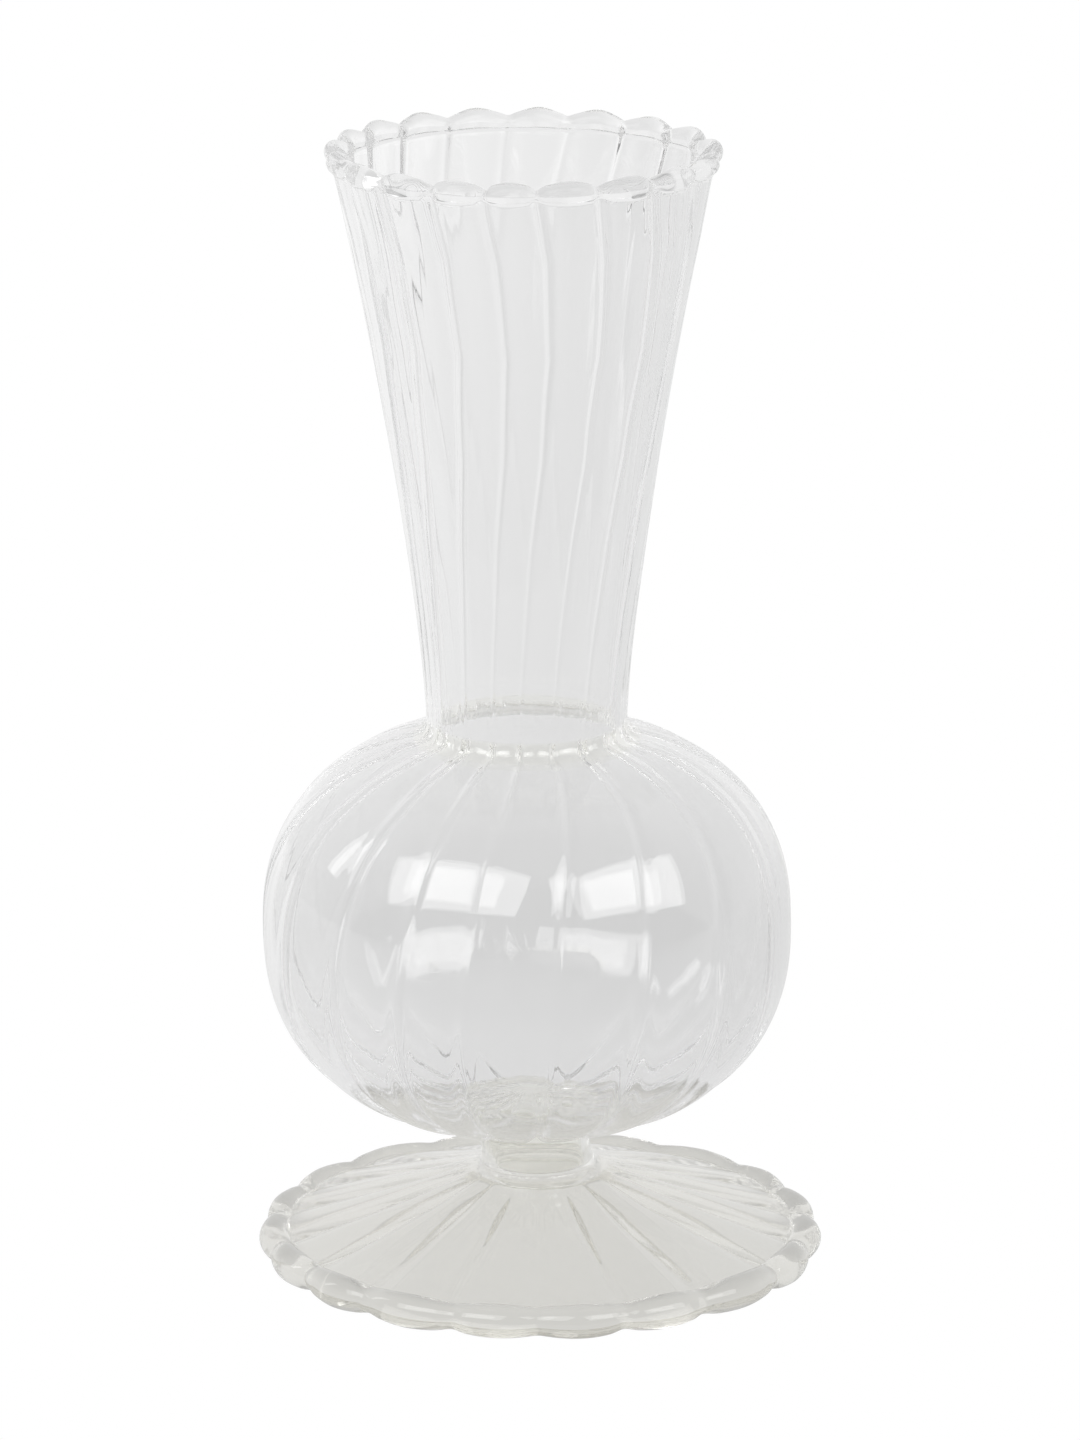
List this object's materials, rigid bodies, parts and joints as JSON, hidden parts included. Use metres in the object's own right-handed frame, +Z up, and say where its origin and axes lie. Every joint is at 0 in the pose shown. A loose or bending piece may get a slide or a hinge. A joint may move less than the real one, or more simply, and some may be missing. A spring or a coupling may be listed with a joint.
{
  "type": "glass bud vase",
  "caption": "Small clear glass bud vase: ribbed trumpet neck with a scalloped lip, round hollow bulb, short stem and a wide scalloped ribbed foot; holds a few cut stems.",
  "frame": {"origin": "centre of the ring that the vase rests on", "axes": "+Z up along the vase's axis of turning, from the foot to the lip; +Y away from the viewer, +X to the right"},
  "size_m": [0.0749, 0.075, 0.15],
  "materials": {
    "blown_glass": "gloss",
    "seal_glass": "gloss",
    "foot_glass": "gloss"
  },
  "bodies": {
    "root": {"foot_rim": "foot_glass", "foot_plate": "foot_glass", "stem": "seal_glass", "bulb_base": "seal_glass", "bulb": "blown_glass", "neck_seal": "seal_glass", "neck": "blown_glass", "lip_bead": "blown_glass"}
  },
  "joints": []
}
